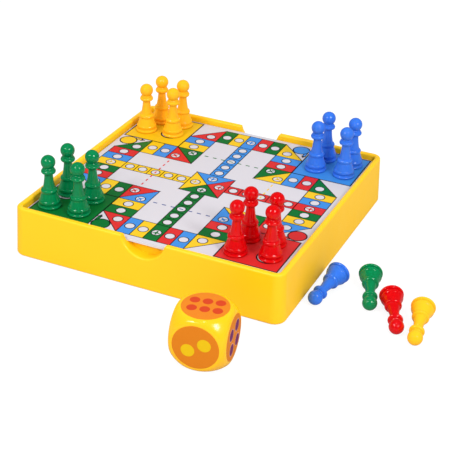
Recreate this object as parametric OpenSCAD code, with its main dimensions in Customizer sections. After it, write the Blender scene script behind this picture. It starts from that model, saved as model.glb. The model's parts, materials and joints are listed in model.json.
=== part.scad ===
// Ludo set: a square tray with a lift-out board, sixteen standing pawns, four loose pawns and a die.
// Millimetres, +Z up. The origin is the middle of the tray's underside, and -Y is the front.

/* [Tray] */
// Outer side of the square tray, across its rim
tray_side = 197.4; // [194:0.2:250]
// Height from the table to the top of the rim
tray_h = 36.5; // [30:0.5:50]
// Thickness of the outer wall at its rim
wall_t = 4.2; // [4:0.1:5.5]
// How far the outer wall leans out on its way down to the table
wall_lean = 1.5; // [0.5:0.1:3]
// Radius of the upright corners
corner_r = 7; // [6.5:0.5:12]
// Radius of the two edges along the top of the rim
rim_round = 1.6; // [0.8:0.1:1.9]
// Radius of the edge round the underside
under_round = 2; // [1:0.1:2.2]
// Thickness of the floor
floor_t = 2.2; // [1.6:0.1:4]
// Gap between the outer wall and the wall that carries the board
gutter_w = 4.5; // [3:0.1:6]
// Thickness of the wall that carries the board
support_t = 2; // [1.4:0.1:3]

/* [Finger notches] */
// Radius of the round notch in the front and back walls
notch_r = 16.2; // [13.5:0.1:20]
// Depth of the notch below the top of the rim
notch_depth = 13.2; // [9:0.1:15]
// Radius that eases the notch into the top of the rim
flare_r = 2.5; // [1.5:0.1:4]
// Radius of the notch's outer edge
lip_round = 1.6; // [0.8:0.1:2.4]

/* [Board] */
// Depth of the playing face below the top of the rim
face_drop = 4.2; // [2.5:0.1:6]
// Thickness of the white panel
panel_t = 1.5; // [1.2:0.1:4]
// Thickness of the printed sheet on the panel
sheet_t = 0.3; // [0.2:0.05:0.6]
// Gap between the board and the tray's wall, all round
board_gap = 0.7; // [0.4:0.1:1.5]
// Radius of the board's corners
board_corner_r = 3; // [2:0.5:6]
// Margin of bare panel round the printed sheet
sheet_margin = 0.5; // [0.2:0.1:1]

/* [Pawns] */
// Height of a pawn
pawn_h = 38.2; // [35:0.1:46]
// Diameter of the foot
foot_d = 16.2; // [14:0.1:16.8]
// Diameter of the ball at the top
head_d = 9.9; // [8.8:0.1:11]
// Diameter of the collar under the ball
collar_d = 10; // [8.8:0.1:10.6]
// Diameter of the bead round the waist
bead_d = 11.3; // [10:0.1:12.5]
// Diameter of the neck where it is slimmest
neck_d = 5.6; // [4.8:0.1:6.4]
// Height that a pawn's hollow reaches inside it
hollow_h = 22; // [12:0.5:24]

/* [Die] */
// Distance between opposite faces of the die
die_side = 36.7; // [30:0.1:44]
// Diameter of the ball that rounds its corners, over its side
die_ball = 1.34; // [1.3:0.01:1.38]
// Width of the sloping ring that eases each flat face into the ball
die_ease = 1.4; // [0.6:0.1:2.5]
// Turn of the die on the table, in degrees
die_turn = 7; // [-45:1:45]

/* [Hidden] */
$fn = 64;
// How far a cut or a joined piece runs past the face it meets
overlap = 1;

// Tray and board
half = tray_side / 2;
inner_half = half - wall_t;
support_half = inner_half - gutter_w;
support_corner_r = 4;
face_z = tray_h - face_drop;
sheet_z = face_z - sheet_t;
panel_z = sheet_z - panel_t;
board_side = 2 * (inner_half - board_gap);
sheet_side = board_side - 2 * sheet_margin;

// Outer wall: middles of its two outer edges, drawn from the corner's axis, the way its sloping face
// looks, and the points where that face runs into the edges
rim_mid = [corner_r - rim_round, tray_h - rim_round];
under_mid = [corner_r + wall_lean - under_round, under_round];
wall_run = rim_mid - under_mid;
face_angle = atan2(wall_run.y, wall_run.x) - acos((under_round - rim_round) / norm(wall_run));
face_way = [cos(face_angle), sin(face_angle)];
rim_touch = rim_mid + rim_round * face_way;
under_touch = under_mid + under_round * face_way;

// Notch: its axis, the circles that ease it into the rim, which bite into it by a hair, and its block
notch_z = tray_h - notch_depth + notch_r;
flare_bite = 0.02;
flare_reach = notch_r + flare_r - flare_bite;
flare_x = sqrt(pow(flare_reach, 2) - pow(notch_z - tray_h + flare_r, 2));
flare_z = notch_z - (notch_z - tray_h + flare_r) * notch_r / flare_reach;
lip_bite = 0.03;
block_t = gutter_w + support_t;

// Pawn: radii of its rings, and heights as shares of its whole height
foot_r = foot_d / 2;
foot_round = 1.1;
groove_r = foot_r * 0.85;
roll_round = 1.9;
roll_x = foot_r * 0.926 - roll_round;
roll_z = pawn_h * 0.114;
skirt_r = foot_r * 0.913;
waist_step = 0.45;
waist_r = bead_d / 2 - waist_step;
waist_z = pawn_h * 0.283;
bead_round = 1.7;
bead_z = pawn_h * 0.323;
neck_r = neck_d / 2;
neck_flare = 1.5;
neck_slack = 0.3;
collar_round = 1.5;
collar_z = pawn_h * 0.698;
ledge_step = 0.8;
ledge_r = collar_d / 2 - ledge_step;
ledge_rise = 1.8;
ledge_z = collar_z + ledge_rise;
throat_round = 1.2;
throat_slack = 0.05;
throat_r = ledge_r - throat_round + throat_slack;
head_r = head_d / 2;
head_z = pawn_h - head_r;

// Neck: one long arc, upright at the collar, that starts on top of the bead
neck_rise = collar_z - bead_z - bead_round;
neck_arc_r = (pow(neck_rise, 2) + pow(neck_flare, 2)) / (2 * neck_flare);

// Hollow inside a pawn, and the thickness left round it at the foot, at the waist and at its tip
foot_wall = 2.1;
waist_wall = 1.7;
tip_wall = 1.6;

// Die
die_r = die_side / 2;
ball_r = die_side * die_ball / 2;
flat_r = sqrt(pow(ball_r, 2) - pow(die_r, 2)) - die_ease;
ease_angle = acos(die_r / ball_r) / 2;
blank_edge = 4;
blank_r = flat_r + (die_r - blank_edge / 2) / tan(ease_angle);

// Standing pawns: four spots in each corner of the board, [x, y] signs in order of the colours
COLOURS = ["green", "red", "blue", "yellow"];
PAINTS = ["#008c50", "#f01419", "#3c82f0", "#ffc328"];
CORNERS = [[-1, -1], [1, -1], [1, 1], [-1, 1]];
SPOTS = [[-1, -1], [-1, 1], [1, 1], [1, -1]];
home_mid = inner_half * 0.725;
spot_pitch = inner_half * 0.222;
// How far each pawn stands from the middle of its spot, by colour and spot
NUDGES = [
    [[-3, 0], [-1, 1], [-2, 0], [-1, 0]],
    [[-1, 1.5], [-0.5, 1.5], [-3.4, 2.1], [1, 5.5]],
    [[1.5, 2.5], [2.5, 1], [2.5, 0], [2.5, 2.5]],
    [[-2.5, 4], [0.5, 3], [-2.5, 3.5], [-2, 6.5]]
];

// Loose pieces: foot of each pawn from the tray's right rim and the middle, and the way it points
LOOSE = [
    ["green", 34, -21.8, -72],
    ["red", 54.8, -41.6, -66],
    ["blue", 14.9, -30.7, -98],
    ["yellow", 77.9, -45.5, -82]
];
die_x = 70;
die_y = -half - 51.3;

// A lying pawn touches the table with the rim of its foot and with its ball
lie_reach = norm([foot_r - foot_round, head_z - foot_round]);
lie_tilt = atan2(foot_r - foot_round, head_z - foot_round) - asin((head_r - foot_round) / lie_reach);
lie_z = foot_round + (foot_r - foot_round) * cos(lie_tilt) + foot_round * sin(lie_tilt);

function standing_name(c, s) = str(COLOURS[c], "_pawn_", s + 1);
function loose_name(k) = str("loose_", LOOSE[k][0], "_pawn");
function paint(colour) = PAINTS[search([colour], COLOURS)[0]];

// A square with round corners, about the origin
module round_square(side, r) {
    square([side, side - 2 * r], center = true);
    square([side - 2 * r, side], center = true);
    for (x = [-1, 1], y = [-1, 1])
        translate([x * (side / 2 - r), y * (side / 2 - r)])
            circle(r);
}

// Sweeps an upright profile round a square whose corner axes are run from the middle
module sweep_round(run) {
    for (k = [0:3])
        rotate(90 * k)
            translate([run, run, 0]) {
                rotate_extrude(angle = 90)
                    children();
                rotate([90, 0, 0])
                    linear_extrude(2 * run)
                        children();
            }
}

// Section of the outer wall, drawn from the corner's axis: upright inside, sloping outside, round edges
module wall_section() {
    inner_r = corner_r - wall_t;
    polygon([
        [inner_r, 0],
        [under_mid.x, 0],
        under_touch,
        rim_touch,
        [rim_mid.x, tray_h],
        [inner_r + rim_round, tray_h],
        [inner_r, rim_mid.y]
    ]);
    translate(under_mid)
        circle(under_round);
    for (r = [inner_r + rim_round, rim_mid.x])
        translate([r, rim_mid.y])
            circle(rim_round);
}

// Outline of a finger notch, eased into the top of the rim on both sides
module notch_outline() {
    translate([0, notch_z])
        circle(notch_r);
    difference() {
        translate([-flare_x, flare_z])
            square([2 * flare_x, tray_h - flare_z + overlap]);
        for (side = [-1, 1])
            translate([side * flare_x, tray_h - flare_r])
                circle(flare_r);
    }
}

// All that a finger notch takes away, from the wall's outer face in to the wall under the board
module notch() {
    translate([0, 0, -wall_t - gutter_w])
        linear_extrude(wall_t + gutter_w + overlap)
            notch_outline();
    translate([0, notch_z, 0])
        rotate_extrude()
            difference() {
                translate([notch_r - overlap, -lip_round])
                    square([lip_round + overlap, lip_round + overlap]);
                translate([notch_r + lip_round - lip_bite, lip_bite - lip_round])
                    circle(lip_round);
            }
}

// Outer wall, floor, wall under the board, and a solid block behind each notch that it scoops out
module tray() {
    color("#ffd326")
        difference() {
            union() {
                sweep_round(half - corner_r)
                    wall_section();
                linear_extrude(floor_t)
                    round_square(tray_side - wall_t, corner_r - wall_t / 2);
                linear_extrude(panel_z)
                    difference() {
                        round_square(2 * support_half, support_corner_r);
                        round_square(2 * (support_half - support_t), support_corner_r - support_t);
                    }
                for (side = [-1, 1])
                    translate([-notch_r, side * (support_half + gutter_w / 2) - block_t / 2, 0])
                        cube([2 * notch_r, block_t, panel_z]);
            }
            for (turn = [0, 180])
                rotate(turn)
                    translate([0, corner_r - half - rim_touch.x, rim_touch.y])
                        rotate([90 - face_angle, 0, 0])
                            translate([0, -rim_touch.y, 0])
                                notch();
        }
}

module board_panel() {
    color("#f2f0f4")
        translate([0, 0, panel_z])
            linear_extrude(panel_t)
                round_square(board_side, board_corner_r);
}

module printed_sheet() {
    color("#e1dee6")
        translate([0, 0, sheet_z])
            linear_extrude(sheet_t)
                round_square(sheet_side, board_corner_r - sheet_margin);
}

// Half section of a pawn: foot, roll, sloping skirt, bead, neck, collar with its ledge, and ball
module pawn_section() {
    square([foot_r - foot_round, 2 * foot_round]);
    translate([foot_r - foot_round, foot_round])
        circle(foot_round);
    translate([0, foot_round])
        square([groove_r, roll_z - foot_round]);
    translate([roll_x, roll_z])
        circle(roll_round);
    polygon([[0, roll_z], [skirt_r, roll_z], [waist_r, waist_z], [0, waist_z]]);
    translate([0, waist_z])
        square([waist_r, bead_z - waist_z]);
    translate([bead_d / 2 - bead_round, bead_z])
        circle(bead_round);
    difference() {
        translate([0, bead_z])
            square([neck_r + neck_flare + neck_slack, collar_z - bead_z]);
        translate([neck_r + neck_arc_r, collar_z])
            circle(neck_arc_r);
    }
    translate([collar_d / 2 - collar_round, collar_z])
        circle(collar_round);
    translate([0, collar_z - collar_round])
        square([collar_d / 2 - collar_round, 2 * collar_round]);
    difference() {
        translate([0, collar_z])
            square([ledge_r, ledge_z + throat_round - collar_z]);
        translate([throat_r + throat_round, ledge_z + throat_round])
            circle(throat_round);
    }
    translate([0, collar_z])
        square([throat_r, head_z - collar_z]);
    translate([0, head_z])
        circle(head_r);
}

// A pawn standing on the origin, turned in the round and hollow from below
module pawn() {
    rotate_extrude()
        difference() {
            intersection() {
                square([foot_r, pawn_h]);
                pawn_section();
            }
            polygon([
                [0, 0],
                [foot_r - foot_wall, 0],
                [waist_r - waist_wall, waist_z],
                [neck_r - tip_wall, hollow_h],
                [0, hollow_h]
            ]);
        }
}

module standing_pawn(c, s) {
    color(PAINTS[c])
        translate([
            CORNERS[c][0] * home_mid + SPOTS[s][0] * spot_pitch / 2 + NUDGES[c][s][0],
            CORNERS[c][1] * home_mid + SPOTS[s][1] * spot_pitch / 2 + NUDGES[c][s][1],
            face_z
        ])
            pawn();
}

module loose_pawn(k) {
    color(paint(LOOSE[k][0]))
        translate([half + LOOSE[k][1], LOOSE[k][2], lie_z])
            rotate([0, 90 + lie_tilt, LOOSE[k][3]])
                pawn();
}

// Turned blank with two flat faces that slope away towards its wide edge
module flats_blank() {
    rotate_extrude()
        polygon([
            [0, -die_r],
            [flat_r, -die_r],
            [blank_r, -blank_edge / 2],
            [blank_r, blank_edge / 2],
            [flat_r, die_r],
            [0, die_r]
        ]);
}

module die() {
    color("#ffd21e")
        translate([die_x, die_y, die_r])
            rotate(die_turn)
                intersection() {
                    sphere(ball_r);
                    flats_blank();
                    rotate([0, 90, 0])
                        flats_blank();
                    rotate([90, 0, 0])
                        flats_blank();
                }
}

tray();
board_panel();
printed_sheet();
die();
for (c = [0:3], s = [0:3])
    standing_pawn(c, s);
for (k = [0:3])
    loose_pawn(k);
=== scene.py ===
# %% [markdown]
# # A ludo board in its tray
# The set is a yellow moulded tray with a printed board lying in it, turned-looking pawns in the four
# home corners, a few pawns lying on the table and one big round-cornered die. The solids come from the
# CAD model. This lesson gives them their finishes, prints the board with thin layers of ink, rounds the
# die, and sets up the camera and the light.

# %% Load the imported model
import json

import bpy
import numpy as np
from mathutils import Matrix, Vector

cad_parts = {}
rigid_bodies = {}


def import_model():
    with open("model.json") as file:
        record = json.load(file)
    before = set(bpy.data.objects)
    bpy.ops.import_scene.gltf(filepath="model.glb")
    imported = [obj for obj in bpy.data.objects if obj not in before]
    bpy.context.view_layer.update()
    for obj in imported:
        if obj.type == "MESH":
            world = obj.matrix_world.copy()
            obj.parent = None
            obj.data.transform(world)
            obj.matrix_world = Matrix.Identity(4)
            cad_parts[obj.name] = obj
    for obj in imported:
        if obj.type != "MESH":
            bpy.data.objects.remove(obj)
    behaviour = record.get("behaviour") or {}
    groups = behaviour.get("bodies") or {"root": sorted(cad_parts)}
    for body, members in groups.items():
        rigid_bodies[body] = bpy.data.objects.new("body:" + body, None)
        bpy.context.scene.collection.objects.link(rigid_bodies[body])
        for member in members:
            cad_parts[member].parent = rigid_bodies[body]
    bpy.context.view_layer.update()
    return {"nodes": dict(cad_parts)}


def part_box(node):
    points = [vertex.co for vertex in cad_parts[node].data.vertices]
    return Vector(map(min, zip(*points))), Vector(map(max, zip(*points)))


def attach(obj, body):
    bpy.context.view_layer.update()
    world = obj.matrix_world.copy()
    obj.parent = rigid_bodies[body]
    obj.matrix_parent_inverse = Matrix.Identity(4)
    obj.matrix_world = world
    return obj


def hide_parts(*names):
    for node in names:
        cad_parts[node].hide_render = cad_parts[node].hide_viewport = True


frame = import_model()
MM = 0.001

# %% [markdown]
# ## Camera
# A camera could be aimed by eye, but a photograph fixes it: the printed grid is flat and square, so the
# way its lines run together gives the lens and the place. The camera stands in front of the set and to
# the right, 29 degrees above the table, with a long lens and a slight roll.

# %% Camera
CAMERA_PLACE = (0.3270, -0.7129, 0.4371)
LENS_MM, SENSOR_MM, SIGHT_M = 98.79, 36.0, 20.0
view_azimuth, view_elevation, view_roll = np.radians([23.634, 29.139, 2.050])
sin_a, cos_a = np.sin(view_azimuth), np.cos(view_azimuth)
sin_e, cos_e = np.sin(view_elevation), np.cos(view_elevation)
level_right = np.array([cos_a, sin_a, 0.0])
level_up = np.array([-sin_a * sin_e, cos_a * sin_e, cos_e])
back = np.array([sin_a * cos_e, -cos_a * cos_e, sin_e])
right = np.cos(view_roll) * level_right + np.sin(view_roll) * level_up
up = np.cos(view_roll) * level_up - np.sin(view_roll) * level_right

camera_data = bpy.data.cameras.new("photo_camera")
camera_data.sensor_width = SENSOR_MM
camera_data.lens = LENS_MM
camera_data.clip_end = SIGHT_M
camera = bpy.data.objects.new("photo_camera", camera_data)
bpy.context.scene.collection.objects.link(camera)
turn = Matrix(np.column_stack([right, up, back]).tolist()).to_4x4()
camera.matrix_world = Matrix.Translation(CAMERA_PLACE) @ turn
bpy.context.scene.camera = camera
bpy.context.scene.view_settings.view_transform = "Standard"
print("camera at", [round(v, 4) for v in camera.location])

# %% [markdown]
# ## Shader formulas
# A finish is a small graph of nodes. Wiring it node by node hides the idea, so one class wraps a socket
# and lets it stand in an ordinary formula. Plus, minus and times each add a Math node, with a number on
# either side, and one method adds any other node.

# %% Sockets that take part in formulas
class Wire:
    """A shader socket in a node tree. Formulas on it add Math nodes to that tree."""

    def __init__(self, tree, socket=None):
        self.tree, self.socket = tree, socket

    def node(self, kind, settings=None, sockets=None, out=0):
        """Adds a node of that type: first its settings, then the values or links of its sockets."""
        made = self.tree.nodes.new(kind)
        for name, value in (settings or {}).items():
            setattr(made, name, value)
        for name, value in (sockets or {}).items():
            if isinstance(value, Wire):
                self.tree.links.new(value.socket, made.inputs[name])
            else:
                made.inputs[name].default_value = value
        return Wire(self.tree, made.outputs[out] if len(made.outputs) else None)

    def _math(self, operation, first, second):
        return self.node("ShaderNodeMath", {"operation": operation}, {0: first, 1: second})

    def __add__(self, other):
        return self._math("ADD", self, other)

    def __sub__(self, other):
        return self._math("SUBTRACT", self, other)

    def __mul__(self, other):
        return self._math("MULTIPLY", self, other)

    def __rsub__(self, other):
        return self._math("SUBTRACT", other, self)

    __radd__ = __add__
    __rmul__ = __mul__


print("formulas on sockets: add, subtract, multiply")

# %% [markdown]
# ## Colours and noises
# Blender mixes colours in linear light, but a colour is easiest to name by its screen values. One helper
# undoes the screen's curve. The light here is a quarter stronger than white needs, because a strong yellow
# has more red than a screen can show and its shadows turn orange by that. So the helper also divides by
# this exposure. Three more helpers make the parts that every finish needs: an empty material to start
# from, a cloudy noise read from the object's own coordinates, so that it stays on the piece, and a mix.

# %% Colours and noises
EXPOSURE = 1.25


def screen(red, green, blue):
    """The linear colour that shows as these 0 to 255 screen values in this lesson's light.

    The screen's curve is undone and the level divided by the exposure. A value of 255 is one that the
    screen cuts off, so that channel keeps all of its light."""
    level = np.array([red, green, blue]) / 255
    linear = np.where(level <= 0.04045, level / 12.92, ((level + 0.055) / 1.055) ** 2.4)
    return (*np.where(level < 1, linear / EXPOSURE, 1.0).tolist(), 1.0)


def new_finish(name):
    """An empty material, and the wire that its first nodes are added from."""
    material = bpy.data.materials.new(name)
    material.use_nodes = True
    material.node_tree.nodes.clear()
    return material, Wire(material.node_tree)


def noise(wire, place, scale, detail=2.0):
    """A cloudy pattern from 0 to 1 whose patches are about 1 / scale metres across."""
    sockets = {"Vector": place, "Scale": scale, "Detail": detail, "Roughness": 0.55}
    return wire.node("ShaderNodeTexNoise", {}, sockets, "Fac")


def between(wire, share, first, second):
    """The colour that lies that share of the way from the first colour to the second."""
    return wire.node("ShaderNodeMix", {"data_type": "RGBA"}, {0: share, 6: first, 7: second}, 2)


print("screen grey 128 is linear", round(screen(128, 128, 128)[0], 3))

# %% [markdown]
# ## Moulded plastic
# The tray, the pawns and the die are moulded plastic. A flat colour looks like paint on a screen. Real
# mouldings drift a little in tone where the melt was thicker, their gloss is broken by faint smears of
# handling, and the mould leaves a very fine grain. Three noises of different size give these. Light also
# goes about a millimetre into the green, red and blue pawns and comes out beside the place where it
# entered, which evens out their shading. Subsurface scattering does that, with a reach in millimetres for
# each of the three colours, longest for the colour that the plastic keeps. The yellow pieces do without
# it, because the light that one yellow face throws on the next fills their shadows already.

# %% Moulded plastic
PLASTIC_IOR = 1.49
GRAIN_SCALE, GRAIN_DEPTH = 2600.0, 0.05 * MM
DRIFT_SHARE, SMEAR_SHARE, SMEARS_PER_DRIFT = 0.6, 0.15, 7


def moulded(name, tone, deep, gloss, drift_scale, grain, shine, glow=0.0, reach=(1.0, 1.0, 1.0)):
    """Plastic whose tone drifts from one colour to a deeper one, with uneven gloss and a fine grain.

    Roughness drifts a quarter up and down round the gloss value. The grain is a bump from the finest
    noise. Glow is the share of light that goes into the plastic, and reach is how far, in millimetres."""
    material, wire = new_finish(name)
    place = wire.node("ShaderNodeTexCoord", out="Object")
    drift = noise(wire, place, drift_scale)
    smear = noise(wire, place, drift_scale * SMEARS_PER_DRIFT, 4.0)
    speck = noise(wire, place, GRAIN_SCALE, 1.0)
    colour = between(wire, drift * DRIFT_SHARE + smear * SMEAR_SHARE, tone, deep)
    bump = {"Strength": grain, "Distance": GRAIN_DEPTH, "Height": speck}
    normal = wire.node("ShaderNodeBump", {}, bump, "Normal")
    surface = wire.node("ShaderNodeBsdfPrincipled", {}, {
        "Base Color": colour,
        "Roughness": smear * (0.5 * gloss) + 0.75 * gloss,
        "IOR": PLASTIC_IOR,
        "Specular IOR Level": shine,
        "Subsurface Weight": glow,
        "Subsurface Radius": reach,
        "Subsurface Scale": MM,
        "Normal": normal,
    })
    wire.node("ShaderNodeOutputMaterial", {}, {"Surface": surface})
    return material


tray_yellow = moulded(
    "tray_yellow", screen(255, 222, 22), screen(255, 216, 12),
    gloss=0.38, drift_scale=14.0, grain=0.10, shine=0.32)
die_yellow = moulded(
    "die_yellow", screen(255, 212, 18), screen(255, 206, 10),
    gloss=0.21, drift_scale=40.0, grain=0.02, shine=0.5)
print("plastics:", tray_yellow.name, die_yellow.name)

# %% [markdown]
# ## Plastic of the pawns
# The pawns are small and come out of a polished mould, so they are glossier than the tray and their tone
# drifts over shorter distances. The four colours share one recipe. They differ in tone, in how much they
# mirror, and in how far light goes into them: the red is the most translucent.

# %% Plastic of the pawns
PAWN_FINISHES = {
    "green": {"tone": screen(0, 145, 84), "deep": screen(0, 132, 75), "shine": 0.45,
              "glow": 0.25, "reach": (0.2, 1.0, 0.6)},
    "red": {"tone": screen(233, 2, 10), "deep": screen(224, 0, 6), "shine": 0.45,
            "glow": 0.5, "reach": (1.6, 0.3, 0.3)},
    "blue": {"tone": screen(62, 130, 246), "deep": screen(52, 120, 238), "shine": 0.5,
             "glow": 0.15, "reach": (0.3, 0.6, 1.2)},
    "yellow": {"tone": screen(255, 207, 40), "deep": screen(255, 200, 30), "shine": 0.25},
}
pawn_plastic = {
    colour: moulded("pawn_" + colour, gloss=0.09, drift_scale=60.0, grain=0.04, **finish)
    for colour, finish in PAWN_FINISHES.items()
}
print("pawn plastics:", sorted(pawn_plastic))

# %% [markdown]
# ## Plastic on the CAD pieces
# The tray and the pawns already have their true shapes, so they stay as they are and only take a finish.
# A pawn's name tells its colour, whether it stands in a home corner or lies on the table.

# %% Plastic on the CAD pieces
def dress(node, material):
    """Puts one material on every slot of a CAD node."""
    slots = node.data.materials
    slots.clear()
    slots.append(material)


pawns = {name: colour for name in frame["nodes"] for colour in PAWN_FINISHES if colour + "_pawn" in name}
for name, colour in pawns.items():
    dress(frame["nodes"][name], pawn_plastic[colour])
dress(frame["nodes"]["tray"], tray_yellow)
print("dressed", len(pawns), "pawns and the tray")

# %% [markdown]
# ## Paper, panel and ink
# The board is a white panel with a printed sheet on it. The sheet is paper: fibres make its white uneven
# at the scale of a millimetre, and a thin varnish gives a soft sheen that isn't the same everywhere. Ink
# sinks into the same fibres, so one recipe serves for paper, panel and inks, with other tones.

# %% Paper, panel and ink
FIBRE_BUMP, FIBRE_DEPTH, CLOUD_SCALE = 0.12, 0.04 * MM, 30.0
FIBRE_SHARE, CLOUD_SHARE, SHEEN_DRIFT, SHEEN_MIDDLE = 0.7, 0.2, 0.15, 0.07


def printed_stock(name, tone, deep, sheen, fibre, shine):
    """Paper or ink: two close tones mixed by a fibre noise, and a sheen that a broader noise breaks up."""
    material, wire = new_finish(name)
    place = wire.node("ShaderNodeTexCoord", out="Object")
    fibres = noise(wire, place, fibre, 5.0)
    clouds = noise(wire, place, CLOUD_SCALE)
    colour = between(wire, fibres * FIBRE_SHARE + clouds * CLOUD_SHARE, tone, deep)
    bump = {"Strength": FIBRE_BUMP, "Distance": FIBRE_DEPTH, "Height": fibres}
    normal = wire.node("ShaderNodeBump", {}, bump, "Normal")
    surface = wire.node("ShaderNodeBsdfPrincipled", {}, {
        "Base Color": colour,
        "Roughness": clouds * SHEEN_DRIFT + (sheen - SHEEN_MIDDLE),
        "Specular IOR Level": shine,
        "Normal": normal,
    })
    wire.node("ShaderNodeOutputMaterial", {}, {"Surface": surface})
    return material


paper_white = printed_stock(
    "paper_white", screen(225, 221, 227), screen(216, 211, 219), sheen=0.46, fibre=1400.0, shine=0.2)
panel_white = printed_stock(
    "panel_white", screen(238, 235, 240), screen(229, 226, 232), sheen=0.55, fibre=700.0, shine=0.2)
dress(frame["nodes"]["printed_sheet"], paper_white)
dress(frame["nodes"]["board_panel"], panel_white)

INK_TONES = {
    "green": (screen(6, 124, 52), screen(2, 114, 44)),
    "red": (screen(230, 44, 44), screen(222, 36, 38)),
    "blue": (screen(66, 149, 233), screen(56, 140, 226)),
    "yellow": (screen(253, 207, 24), screen(248, 200, 16)),
    "navy": (screen(56, 80, 152), screen(48, 72, 142)),
    "dark": (screen(30, 26, 32), screen(20, 17, 22)),
}
ink = {name: printed_stock("ink_" + name, *tones, sheen=0.42, fibre=1800.0, shine=0.15)
       for name, tones in INK_TONES.items()}
ink["white"] = paper_white
print("inks:", sorted(ink))

# %% [markdown]
# ## Printing the board
# The print could be one picture on the sheet, but a picture blurs when it is baked. Here every cell,
# circle and line is its own thin layer of ink, a few hundredths of a millimetre high, as screen printing
# lays it down. All shapes are convex outlines, so two makers are enough: one fills an outline, and one
# lays a line along it. Each works on a whole batch of equal outlines at once. Where two inks cross, the
# later one is higher, so that they share no plane and can't flicker.

# %% Filled outlines
face_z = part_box("printed_sheet")[1].z / MM
INK_ROOT = 0.05
FILL_H, DISC_H, LINE_H, MARK_H = 0.015, 0.03, 0.04, 0.05
layers = {name: [] for name in ink}


def fill(colour, outlines, height):
    """Closed patches of ink. outlines is (m, n, 2): m convex shapes of n corners each, counter-clockwise.

    Each outline is repeated at two heights; quads join the two rings and one face closes each end."""
    outlines = np.asarray(outlines, float)
    m, n, _ = outlines.shape
    rings = np.empty((m, 2, n, 3))
    rings[..., :2] = outlines[:, None]
    rings[..., 2] = np.array([-INK_ROOT, height])[None, :, None] + face_z
    i = np.arange(n)
    j = (i + 1) % n
    first = np.arange(m)[:, None] * 2 * n
    sides = np.stack([i, j, j + n, i + n], -1)[None] + first[..., None]
    layers[colour].append((rings.reshape(-1, 3), [sides.reshape(-1, 4), first + n + i, first + i[::-1]]))


print("printed face at", round(face_z, 2), "mm")

# %% [markdown]
# ## Lines of ink
# The dark lines between the cells follow the same outlines. A line could be a thin box for each edge, but
# the boxes would overlap at every corner. One closed strip with mitred corners goes round without a seam.

# %% Lines along outlines
def line(colour, outlines, width, height):
    """Closed strips of ink along each outline, half of the width inside it and half outside.

    A corner moves along the sum of its two edges' inward normals, divided by one plus their dot product,
    so that both edges move by the same distance."""
    outlines = np.asarray(outlines, float)
    m, n, _ = outlines.shape
    edges = np.roll(outlines, -1, 1) - outlines
    inward = np.stack([-edges[..., 1], edges[..., 0]], -1)
    inward /= np.linalg.norm(inward, axis=-1, keepdims=True)
    before = np.roll(inward, 1, 1)
    shift = width / 2 * (before + inward) / (1 + (before * inward).sum(-1, keepdims=True))
    outer, inner = outlines - shift, outlines + shift
    rings = np.empty((m, 4, n, 3))
    rings[..., :2] = np.stack([outer, outer, inner, inner], 1)
    rings[..., 2] = np.array([-INK_ROOT, height, height, -INK_ROOT])[None, :, None] + face_z
    i = np.arange(n)
    j = (i + 1) % n
    ring = np.arange(4)[:, None] * n
    after = np.roll(ring, -1, 0)
    quads = np.stack([ring + i, ring + j, after + j, after + i], -1).reshape(-1, 4)
    faces = quads[None] + (np.arange(m) * 4 * n)[:, None, None]
    layers[colour].append((rings.reshape(-1, 3), [faces.reshape(-1, 4)]))


print("ink heights, patch to mark:", FILL_H, DISC_H, LINE_H, MARK_H, "mm")

# %% [markdown]
# ## Outlines
# The drawing needs only a few kinds of outline: rectangles, ellipses, and shapes turned and moved to
# their places. The board is the same on its four sides, so one more helper turns points by quarter turns.

# %% Outlines
def rounds(centres, half_x, half_y=None, corners=28):
    """Ellipses about the centres: each corner is the centre plus the half axes times cosine and sine."""
    angle = np.linspace(0, 2 * np.pi, corners, endpoint=False)
    shape = np.stack([half_x * np.cos(angle), (half_y or half_x) * np.sin(angle)], -1)
    return np.asarray(centres, float)[:, None] + shape


def boxes(lows, highs):
    """Upright rectangles from their low and high corners."""
    (x0, y0), (x1, y1) = np.asarray(lows, float).T, np.asarray(highs, float).T
    return np.stack([np.stack([x, y], -1) for x, y in ((x0, y0), (x1, y0), (x1, y1), (x0, y1))], 1)


def turned(points, degrees, middle=(0.0, 0.0)):
    """Points turned about the origin by the angle and then moved so that the origin lands on the middle."""
    c, s = np.cos(np.radians(degrees)), np.sin(np.radians(degrees))
    return np.asarray(points, float) @ np.array([[c, s], [-s, c]]) + middle


def quarter(points, k):
    """Points turned by k quarter turns about the board's middle."""
    return turned(points, 90 * k)


print("one quarter turn takes (1, 0) to", np.round(quarter([(1, 0)], 1)[0], 3))

# %% [markdown]
# ## The track
# The four sides of the board are the same drawing, turned by quarter turns, with the four colours moved
# on by one each time. A side has an edge of five cells between two triangles. After it the track turns
# a corner: two cells, a square of two triangles, and two more cells. Every cell has a white circle.

# %% Cells of one side
SIDES = ["green", "red", "blue", "yellow"]
CELL, ARM_IN, ARM_OUT, EDGE_IN, EDGE_OUT = 10.0, 25.0, 46.4, 67.8, 89.2
HALF_CELL = (EDGE_IN - ARM_OUT) / 2

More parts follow.
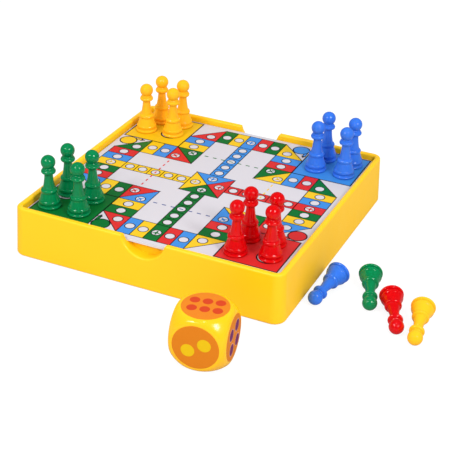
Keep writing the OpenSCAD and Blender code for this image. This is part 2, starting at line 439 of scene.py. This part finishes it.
edge_x = -ARM_IN + CELL * np.arange(6)
edge_cells = boxes([(x, -EDGE_OUT) for x in edge_x[:-1]], [(x, -EDGE_IN) for x in edge_x[1:]])
edge_tips = np.array([
    [(-ARM_OUT, -EDGE_IN), (-ARM_IN, -EDGE_OUT), (-ARM_IN, -EDGE_IN)],
    [(ARM_IN, -EDGE_OUT), (ARM_OUT, -EDGE_IN), (ARM_IN, -EDGE_IN)]])
corner_cells = boxes(
    [(ARM_IN, -EDGE_IN), (ARM_IN, -ARM_OUT - HALF_CELL),
     (ARM_OUT, -ARM_OUT), (ARM_OUT + HALF_CELL, -ARM_OUT)],
    [(ARM_OUT, -ARM_OUT - HALF_CELL), (ARM_OUT, -ARM_OUT),
     (ARM_OUT + HALF_CELL, -ARM_IN), (EDGE_IN, -ARM_IN)])
corner_tips = np.array([
    [(ARM_IN, -ARM_OUT), (ARM_OUT, -ARM_OUT), (ARM_IN, -ARM_IN)],
    [(ARM_OUT, -ARM_OUT), (ARM_OUT, -ARM_IN), (ARM_IN, -ARM_IN)]])
side_groups = (edge_cells, edge_tips, corner_cells, corner_tips)
print("cells of one side:", [len(group) for group in side_groups])

# %% [markdown]
# ## The track, four times round
# A side is laid once for each quarter turn. Its cells name their colours by order, counted on from the
# side's own colour, so the same list serves for all four. The circles sit in the middle of the plain
# cells. In a triangle the middle looks off, so there they have places of their own.

# %% The track, four times round
LINE_W, RING_W, CIRCLE_R = 0.6, 0.65, 3.5
edge_mids, corner_mids = edge_cells.mean(1), corner_cells.mean(1)
edge_tip_mids = np.array([(-31.7, -73.9), (31.7, -73.9)])
corner_tip_mids = np.array([(31.7, -41.3), (41.3, -31.8)])
CORNER_TIP_ORDER = [2, 3]
TRACK = [([2, 3, 0, 1, 2], edge_cells), ([1, 3], edge_tips), ([0, 1, 0, 1], corner_cells),
         (CORNER_TIP_ORDER, corner_tips)]
track_mids = np.concatenate([edge_mids, edge_tip_mids, corner_mids, corner_tip_mids])
for k in range(4):
    for orders, outlines in TRACK:
        for order, outline in zip(orders, quarter(outlines, k)):
            fill(SIDES[(order + k) % 4], outline[None], FILL_H)
        line("dark", quarter(outlines, k), LINE_W, LINE_H)
    circles = rounds(quarter(track_mids, k), CIRCLE_R)
    fill("white", circles, DISC_H)
    line("dark", circles, RING_W, LINE_H)
print("track cells:", 4 * sum(len(outlines) for _, outlines in TRACK))

# %% [markdown]
# ## Home columns and centre
# From the middle of each edge a column of five cells runs to the centre, a square cut into four
# triangles. These are rows of equal rectangles again, so the same makers lay them.

# %% Home columns and centre
CENTRE, COLUMN_HALF, HOME_CIRCLE_R = 15.2, 5.2, 3.25
column_y = np.linspace(-EDGE_IN, -CENTRE, 6)
column_cells = boxes([(-COLUMN_HALF, y) for y in column_y[:-1]], [(COLUMN_HALF, y) for y in column_y[1:]])
column_mids = column_cells.mean(1)
centre_tip = np.array([[(-CENTRE, -CENTRE), (CENTRE, -CENTRE), (0, 0)]])
centre_mid = np.array([(0.0, -9.4)])
for k, colour in enumerate(SIDES):
    for shape in (column_cells, centre_tip):
        fill(colour, quarter(shape, k), FILL_H)
        line("dark", quarter(shape, k), LINE_W, LINE_H)
    for mids, radius in ((column_mids, HOME_CIRCLE_R), (centre_mid, CIRCLE_R)):
        fill("white", rounds(quarter(mids, k), radius), DISC_H)
        line("dark", rounds(quarter(mids, k), radius), RING_W, LINE_H)
print("column cells:", 4 * len(column_cells))

# %% [markdown]
# ## Home squares and their rings
# The corners of the board are the home squares. The print lies a little off the middle of its sheet, so
# each square ends at its own distance from the edge. A ring marks the place of each pawn. Most pawns
# cover theirs, which lies a little behind the foot as the camera sees it; three stand beside it.

# %% Home squares and their rings
HOME_CORNERS = {"green": (-92.3, -91.2), "red": (90.5, -88.5), "blue": (91.7, 92.4), "yellow": (-92.2, 92.0)}
HOME_LINE_W, HOME_RING_R, HOME_RING_W = 0.9, 7.4, 1.0
for colour, outer in HOME_CORNERS.items():
    inner = ARM_OUT * np.sign(outer)
    square = boxes([np.minimum(inner, outer)], [np.maximum(inner, outer)])
    fill(colour, square, FILL_H)
    line("dark", square, HOME_LINE_W, LINE_H)

COVERED = (-0.3, 0.7)
BESIDE = {"green_pawn_2": (-0.4, -1.9), "red_pawn_4": (-1.5, -0.5), "yellow_pawn_4": (-1.2, -0.6)}
standing = [name for name in pawns if name.split("_")[-1].isdigit()]
feet = np.array([((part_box(name)[0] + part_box(name)[1]) / 2 / MM).xy for name in standing])
home_rings = rounds(feet + [BESIDE.get(name, COVERED) for name in standing], HOME_RING_R, corners=40)
fill("white", home_rings, DISC_H)
line("dark", home_rings, HOME_RING_W, LINE_H)
print("home squares:", len(HOME_CORNERS), "rings:", len(home_rings))

# %% [markdown]
# ## Short cuts and aircraft
# Dashed short cuts cross the home columns. Small aircraft mark the cells where a pawn may fly on. An
# aircraft isn't convex, so it is made of pieces that are: a body, two wings and a tail in two halves.

# %% Short cuts and aircraft
DASH_OF = {"green": "navy", "yellow": "red", "blue": "green", "red": "yellow"}
dash_x = np.array([-20.2, -13.4, -6.7, 0.0, 6.7, 13.4, 20.2])
dash_mids = np.stack([dash_x, np.full(len(dash_x), column_mids[2][1])], -1)
DASH_HALF = (1.5, 0.5)
dashes = boxes(dash_mids - DASH_HALF, dash_mids + DASH_HALF)

AIRCRAFT_SIZE = 1.25
wing = np.array([(0.25, 0.5), (0.25, -0.5), (2.3, -0.9), (2.3, -0.35)])
tail = np.array([(0.15, -1.35), (0.15, -1.9), (0.95, -2.05), (0.95, -1.7)])
wings_and_tail = AIRCRAFT_SIZE * np.array([wing[::-1], wing * (-1, 1), tail[::-1], tail * (-1, 1)])
fuselage = AIRCRAFT_SIZE * rounds([(0.0, 0.0)], 0.55, 2.25, 12)
for k, colour in enumerate(SIDES):
    fill(DASH_OF[colour], quarter(dashes, k), MARK_H)
    flights = [(colour, edge_mids[2], 0), (colour, centre_mid[0], 0)]
    flights += [(SIDES[(order + k) % 4], middle, 45)
                for order, middle in zip(CORNER_TIP_ORDER, corner_tip_mids)]
    for flown, middle, degrees in flights:
        for shapes in (wings_and_tail, fuselage):
            fill(flown, quarter(turned(shapes, degrees, middle), k), MARK_H)
print("dashes:", 4 * len(dashes), "aircraft:", 4 * len(flights))

# %% [markdown]
# ## Start fields and arrows
# Beside each home square are a round start field, which is left without a word, and a short arrow from it
# to the track. The arrow's stem has a dark edge. It is laid as a dark strip below a narrower one in colour.

# %% Start fields and arrows
START_MID, START_R, START_LINE_W = np.array([(-39.0, -84.9)]), 6.4, 0.9
STEM_H = (FILL_H + DISC_H) / 2
arrow_edge = boxes([(-45.5, -82.0)], [(-42.7, -76.2)])
arrow_stem = boxes([(-44.9, -82.0)], [(-43.3, -76.2)])
arrow_head = np.array([[(-46.0, -76.5), (-42.1, -76.5), (-44.1, -73.2)]])
for k, colour in enumerate(SIDES):
    start_field = rounds(quarter(START_MID, k), START_R)
    fill(colour, start_field, DISC_H)
    line("dark", start_field, START_LINE_W, LINE_H)
    fill("dark", quarter(arrow_edge, k), FILL_H)
    fill(colour, quarter(arrow_stem, k), STEM_H)
    fill("dark", quarter(arrow_head, k), MARK_H)
print("start fields:", len(SIDES))

# %% [markdown]
# ## Laying the ink
# All patches of one ink become one mesh. The patches were made one after another, each with its own
# point numbers from zero, so each batch of faces is moved on by the number of points before it.

# %% Laying the ink
def new_piece(name, points, faces, material, body, slot, smooth=False):
    """A mesh object at the origin, riding on a CAD body, from points in millimetres."""
    mesh = bpy.data.meshes.new(name)
    mesh.from_pydata((np.asarray(points) * MM).tolist(), [], faces)
    mesh.polygons.foreach_set("use_smooth", np.full(len(mesh.polygons), smooth))
    mesh.materials.append(material)
    piece = bpy.data.objects.new(name, mesh)
    bpy.context.scene.collection.objects.link(piece)
    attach(piece, body)
    return piece


for name, patches in layers.items():
    points = np.concatenate([patch for patch, _ in patches])
    firsts = np.cumsum([0] + [len(patch) for patch, _ in patches[:-1]])
    batches = [(batch + first).tolist() for first, (_, sets) in zip(firsts, patches) for batch in sets]
    print_layer = new_piece("print_" + name, points, sum(batches, []), ink[name], "board", "printed_paper")
    print(print_layer.name, len(print_layer.data.polygons), "faces")

# %% [markdown]
# ## The die
# The die is a cube whose corners were turned away on a ball. Cutting one from the other leaves sharp
# circles, but the moulded die is soft there. A smooth blend of the two is one formula: along any
# direction the surface lies where the sum of high powers of the six faces' and the ball's distances
# reaches one. The higher the power, the crisper the edge. The body is drawn a few hundredths of a
# millimetre small, which leaves room for the printed discs inside the die's true size.

# %% The die's skin
die_low, die_high = (np.array(v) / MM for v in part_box("die"))
DIE_MIDDLE = (die_low + die_high) / 2
DIE_HALF = (die_high[2] - die_low[2]) / 2
BALL_SHARE, BLEND_POWER = 1.34, 36
BALL_R = BALL_SHARE * DIE_HALF
DIE_TURN = np.radians(7.0)
turn_cos, turn_sin = np.cos(DIE_TURN), np.sin(DIE_TURN)
die_spin = np.array([[turn_cos, -turn_sin, 0], [turn_sin, turn_cos, 0], [0, 0, 1]])
FACE_FRAMES = {
    "top": ((1, 0, 0), (0, 1, 0), (0, 0, 1)),
    "bottom": ((1, 0, 0), (0, -1, 0), (0, 0, -1)),
    "front": ((1, 0, 0), (0, 0, 1), (0, -1, 0)),
    "back": ((-1, 0, 0), (0, 0, 1), (0, 1, 0)),
    "right": ((0, 1, 0), (0, 0, 1), (1, 0, 0)),
    "left": ((0, -1, 0), (0, 0, 1), (-1, 0, 0)),
}


def die_skin(across, upward, side, lift):
    """Points on the die seen through one face.

    The point on the face's plane gives a direction from the middle. The distance along it is
    (sum of (each coordinate / half side)^p + (1 / ball radius)^p)^(-1/p), plus the lift."""
    axes = np.array(FACE_FRAMES[side], float)
    plane = np.stack([across, upward, np.full(np.shape(across), DIE_HALF)], -1)
    way = plane @ axes
    way /= np.linalg.norm(way, axis=-1, keepdims=True)
    powers = (np.abs(way) / DIE_HALF) ** BLEND_POWER
    reach = (powers.sum(-1, keepdims=True) + BALL_R ** -BLEND_POWER) ** (-1 / BLEND_POWER)
    return (way * (reach + lift)) @ die_spin.T + DIE_MIDDLE


print("die side:", round(2 * DIE_HALF, 2), "mm, ball:", round(2 * BALL_R, 2), "mm")

# %% [markdown]
# ## The die's body
# A ball of rings and spokes would crowd its points at two poles. Here each of the six faces gets its own
# square grid, spread by equal angles, and the same formula carries them all. The grids meet in the same
# points along the cube's edges, so joining equal points closes the body.

# %% The die's body
def welded(points, faces):
    """Joins points that fall on the same spot, so that seams and poles are closed."""
    _, kept, joined = np.unique(np.round(points, 5), axis=0, return_index=True, return_inverse=True)
    return points[kept], joined.reshape(-1)[faces]


GRID, BODY_LIFT = 72, -0.06
step = DIE_HALF * np.tan(np.linspace(-np.pi / 4, np.pi / 4, GRID + 1))
grid_x, grid_y = np.meshgrid(step, step, indexing="ij")
cell_i, cell_j = np.meshgrid(np.arange(GRID), np.arange(GRID), indexing="ij")
corner = cell_i * (GRID + 1) + cell_j
quads = np.stack([corner, corner + GRID + 1, corner + GRID + 2, corner + 1], -1).reshape(-1, 4)
skins = [die_skin(grid_x, grid_y, side, BODY_LIFT).reshape(-1, 3) for side in FACE_FRAMES]
faces = np.concatenate([quads + k * (GRID + 1) ** 2 for k in range(6)])
die_points, die_faces = welded(np.concatenate(skins), faces)
die_body = new_piece("die_body", die_points, die_faces.tolist(), die_yellow, "die", "die_yellow", True)
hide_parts("die")
print("die body:", len(die_points), "points")

# %% [markdown]
# ## Discs and pips on the die
# Each face carries a round printed disc with its pips. They follow the die's skin, so each is a polar
# grid, rings by spokes, laid on the same formula a few hundredths of a millimetre higher. The outermost
# ring dips back into the die and closes the edge.

# %% Round patches on the die
def die_patch(side, middle, radius, lift, spokes=48, rings=16):
    """A round patch: radius share and angle give a plane point, and the die's skin carries it."""
    share = np.append(np.linspace(0, 0.99, rings - 1), [1.0, 1.0])[:, None]
    angle = np.linspace(0, 2 * np.pi, spokes, endpoint=False)[None]
    height = np.where(np.arange(rings + 1) < rings, lift, 2 * BODY_LIFT)[:, None, None]
    points = die_skin(middle[0] + radius * share * np.cos(angle), middle[1] + radius * share * np.sin(angle),
                      side, height)
    r, s = np.meshgrid(np.arange(rings), np.arange(spokes), indexing="ij")
    after = (s + 1) % spokes
    quads = np.stack([r * spokes + s, (r + 1) * spokes + s, (r + 1) * spokes + after, r * spokes + after], -1)
    points, quads = welded(points.reshape(-1, 3), quads.reshape(-1, 4))
    return points, [list(dict.fromkeys(quad)) for quad in quads.tolist()]


DIE_INKS = {
    "orange": (screen(237, 138, 36), screen(230, 129, 26)),
    "red": (screen(219, 74, 36), screen(211, 66, 28)),
    "yellow": (screen(248, 204, 28), screen(243, 197, 20)),
    "purple": (screen(128, 50, 110), screen(118, 42, 100)),
    "pale": (screen(246, 178, 150), screen(240, 170, 140)),
}
die_ink = {name: printed_stock("die_" + name, *tones, sheen=0.40, fibre=1500.0, shine=0.04)
           for name, tones in DIE_INKS.items()}
print("die inks:", sorted(die_ink))

# %% [markdown]
# ## Laying discs and pips
# The six, the two and the four are those that show. The faces opposite them make up seven. Each pip lies
# a step higher than its disc, so that the two never share a surface. The purple pips have a thin pale
# edge, which is a slightly larger patch between the disc and the pip.

# %% Laying discs and pips
PATCH_STEP, PIP_SPOKES, PIP_RINGS = 0.015, 32, 8
DISC_R, PALE_EDGE = 15.0, 0.45
six = [(x, y) for y in (-4.4, 4.4) for x in (-8.0, 0.0, 8.0)]
four = [(x, y) for y in (-5.5, 5.5) for x in (-5.5, 5.5)]
PIPS = {
    "top": ("red", 3.2, turned(six, 5.4, (0.2, 0.7))),
    "front": ("yellow", 4.3, [(-4.8, -3.0), (5.4, 2.4)]),
    "right": ("purple", 3.8, turned(four, 5.0, (0.9, -0.6))),
    "bottom": ("yellow", 5.0, [(0.0, 0.0)]),
    "back": ("red", 3.4, [(0.0, 0.0), *turned(four, 0.0)]),
    "left": ("purple", 3.8, [(-6.6, 6.6), (0.0, 0.0), (6.6, -6.6)]),
}
for side, (colour, radius, places) in PIPS.items():
    patches = [("disc", die_patch(side, (0, 0), DISC_R, BODY_LIFT + PATCH_STEP), "orange")]
    for number, place in enumerate(places, 1):
        if colour == "purple":
            edge_lift = BODY_LIFT + 2 * PATCH_STEP
            edge = die_patch(side, place, radius + PALE_EDGE, edge_lift, PIP_SPOKES, PIP_RINGS)
            patches.append((f"edge_{number}", edge, "pale"))
        pip = die_patch(side, place, radius, BODY_LIFT + 3 * PATCH_STEP, PIP_SPOKES, PIP_RINGS)
        patches.append((f"pip_{number}", pip, colour))
    for name, shape, shade in patches:
        new_piece(f"die_{side}_{name}", *shape, die_ink[shade], "die", "die_yellow", True)
print("pips:", sum(len(places) for _, _, places in PIPS.values()))

# %% [markdown]
# ## The table
# The set stands on a white table without an edge in sight. A plane of two triangles would do, but a wide
# round one has no corner that could come into view from any side.

# %% The table
FLOOR_R, SPOKES = 12.0, 96
floor_angle = np.linspace(0, 2 * np.pi, SPOKES, endpoint=False)
floor_ring = np.stack([FLOOR_R * np.cos(floor_angle), FLOOR_R * np.sin(floor_angle), np.zeros(SPOKES)], -1)
floor_mesh = bpy.data.meshes.new("table_top")
floor_mesh.from_pydata(floor_ring.tolist(), [], [list(range(SPOKES))])
floor = bpy.data.objects.new("table_top", floor_mesh)
bpy.context.scene.collection.objects.link(floor)
print("table:", 2 * FLOOR_R, "m across")

# %% [markdown]
# ## The table's white
# A floor that is only lit turns grey at its far end, and more light would wash the colours out. So the
# floor shows itself to the camera at the level of white, with a weak share of real light for the shadow.
# To the light that it throws back on the set it is plain paper. Reflections see only a fifth of the white,
# because a bright table would lay a haze over every pawn and wall. The Light Path node tells which kind
# of ray has met the floor.

# %% The table's white
PAPER_GREY, SHADOW_GREY, WHITE_LEVEL, MIRROR_LOSS = 0.64, 0.16, 0.88, 0.8
table_white, wire = new_finish("table_white")
camera_ray, glossy_ray, clear_ray = (
    wire.node("ShaderNodeLightPath", out=f"Is {kind} Ray") for kind in ("Camera", "Glossy", "Transmission"))
seen = wire.node("ShaderNodeMath", {"operation": "MINIMUM"}, {0: camera_ray + glossy_ray + clear_ray, 1: 1.0})
paper, faint = (wire.node("ShaderNodeBsdfDiffuse", {}, {"Color": (grey, grey, grey, 1)})
                for grey in (PAPER_GREY, SHADOW_GREY))
own_light = wire.node("ShaderNodeEmission", {}, {"Color": (1, 1, 1, 1), "Strength": WHITE_LEVEL})
white = wire.node("ShaderNodeAddShader", {}, {0: faint, 1: own_light})
shown = wire.node("ShaderNodeMixShader", {}, {0: glossy_ray * MIRROR_LOSS, 1: white, 2: faint})
mixed = wire.node("ShaderNodeMixShader", {}, {0: seen, 1: paper, 2: shown})
wire.node("ShaderNodeOutputMaterial", {}, {"Surface": mixed})
floor_mesh.materials.append(table_white)
print("table white:", WHITE_LEVEL, "of its own and", SHADOW_GREY, "of the lamps' light")

# %% [markdown]
# ## The room
# Even white all round would lay a pale haze over the glossy pawns. In a studio only the backdrop behind
# the set is white, and the room in front of it is dim. So the world's strength is low all round and
# rises by one straight behind the set, with the square of the cosine of the angle from there. Mirror-like
# reflections don't see that rise, which keeps the pawns' colours deep. Light that a surface scatters gets
# an even fill on top, which softens the shadows.

# %% The room
DIM, FILL = 0.12, 0.64
world = bpy.data.worlds.new("studio")
world.use_nodes = True
world.node_tree.nodes.clear()
wire = Wire(world.node_tree)
direction = wire.node("ShaderNodeTexCoord", out="Generated")
facing = wire.node("ShaderNodeVectorMath", {"operation": "DOT_PRODUCT"},
                   {0: direction, 1: (-sin_a, cos_a, 0.0)}, "Value")
behind = wire.node("ShaderNodeMath", {"operation": "MAXIMUM"}, {0: facing, 1: 0.0})
diffuse_ray, mirror_ray = (
    wire.node("ShaderNodeLightPath", out=f"Is {kind} Ray") for kind in ("Diffuse", "Glossy"))
level = behind * behind * (1 - mirror_ray) + DIM + diffuse_ray * FILL
room = wire.node("ShaderNodeBackground", {}, {"Color": (1, 1, 1, 1), "Strength": level})
wire.node("ShaderNodeOutputWorld", {}, {"Surface": room})
bpy.context.scene.world = world
print("room:", DIM, "all round, with", FILL, "more for scattered light")

# %% [markdown]
# ## Soft boxes
# Every pawn's ball mirrors the lamps, so its highlights say where they were: two soft boxes left and
# right of the camera, and a weaker one overhead. A rectangular area lamp is a soft box as it stands. The
# smaller it is for its power, the smaller and brighter are the highlights.

# %% Soft boxes
LAMP_DISTANCE, LAMP_AIM = 1.2, Vector((0.02, -0.03, 0.03))


def soft_box(name, azimuth, elevation, size, watts):
    """A rectangular lamp aimed at the set. Azimuth 0 is straight in front, positive to the right."""
    a, e = np.radians([azimuth, elevation])
    way = Vector((np.sin(a) * np.cos(e), -np.cos(a) * np.cos(e), np.sin(e)))
    lamp = bpy.data.lights.new(name, "AREA")
    lamp.shape = "RECTANGLE"
    lamp.size, lamp.size_y = size
    lamp.energy = watts
    holder = bpy.data.objects.new(name, lamp)
    holder.location = way * LAMP_DISTANCE + LAMP_AIM
    holder.rotation_euler = way.to_track_quat("Z", "Y").to_euler()
    bpy.context.scene.collection.objects.link(holder)


SOFT_BOXES = {
    "left_box": (-24, 42, (0.30, 0.25), 5.0),
    "right_box": (62, 38, (0.225, 0.375), 6.5),
    "top_box": (0, 84, (0.10, 0.10), 0.65),
}
for name, lamp in SOFT_BOXES.items():
    soft_box(name, *lamp)
print("lamps:", list(SOFT_BOXES))
